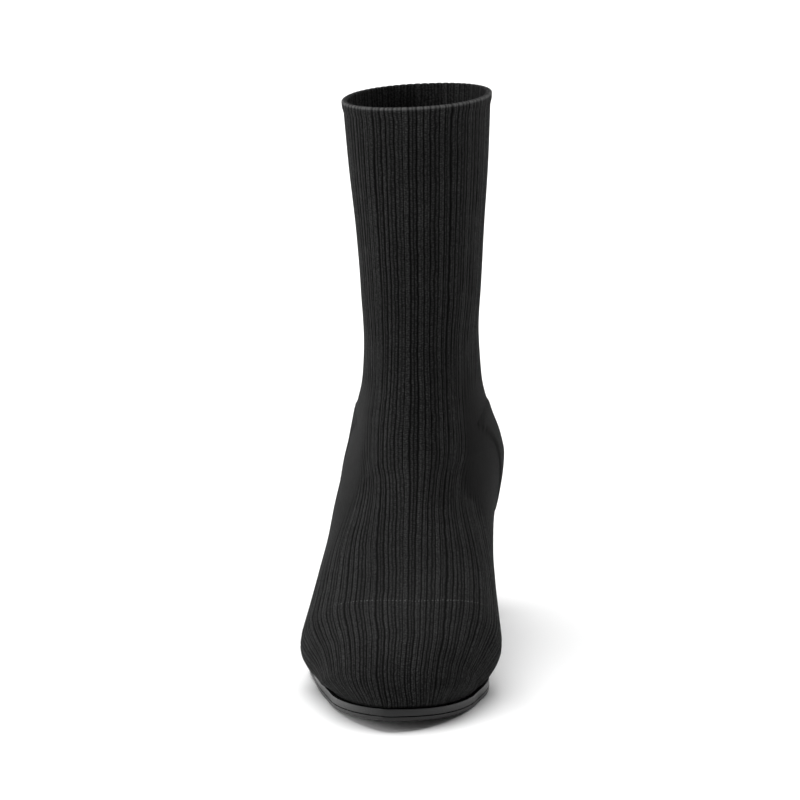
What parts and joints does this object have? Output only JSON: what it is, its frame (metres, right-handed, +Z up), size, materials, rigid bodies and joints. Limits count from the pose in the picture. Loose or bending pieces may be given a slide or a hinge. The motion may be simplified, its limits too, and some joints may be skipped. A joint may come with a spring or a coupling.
{
  "type": "sock boot",
  "caption": "Heeled ankle boot with a fitted knitted shaft, a rolled collar, a thin glossy sole and a block heel.",
  "frame": {"origin": "on the floor, under the middle of the boot's bounding box", "axes": "+Z up the shaft, -Y towards the toe, +X towards the medial side of this right boot"},
  "size_m": [0.0936, 0.2438, 0.2616],
  "materials": {
    "upper_knit": "black ribbed knit",
    "insole_lining": "black lining",
    "sole_gloss": "black, polished at the edge",
    "heel_gloss": "black, lacquered",
    "lift_rubber": "matt black"
  },
  "bodies": {
    "root": {"upper": "upper_knit", "insole": "insole_lining", "midsole": "sole_gloss", "outsole": "sole_gloss", "heel_block": "heel_gloss", "heel_lift": "lift_rubber"}
  },
  "joints": []
}
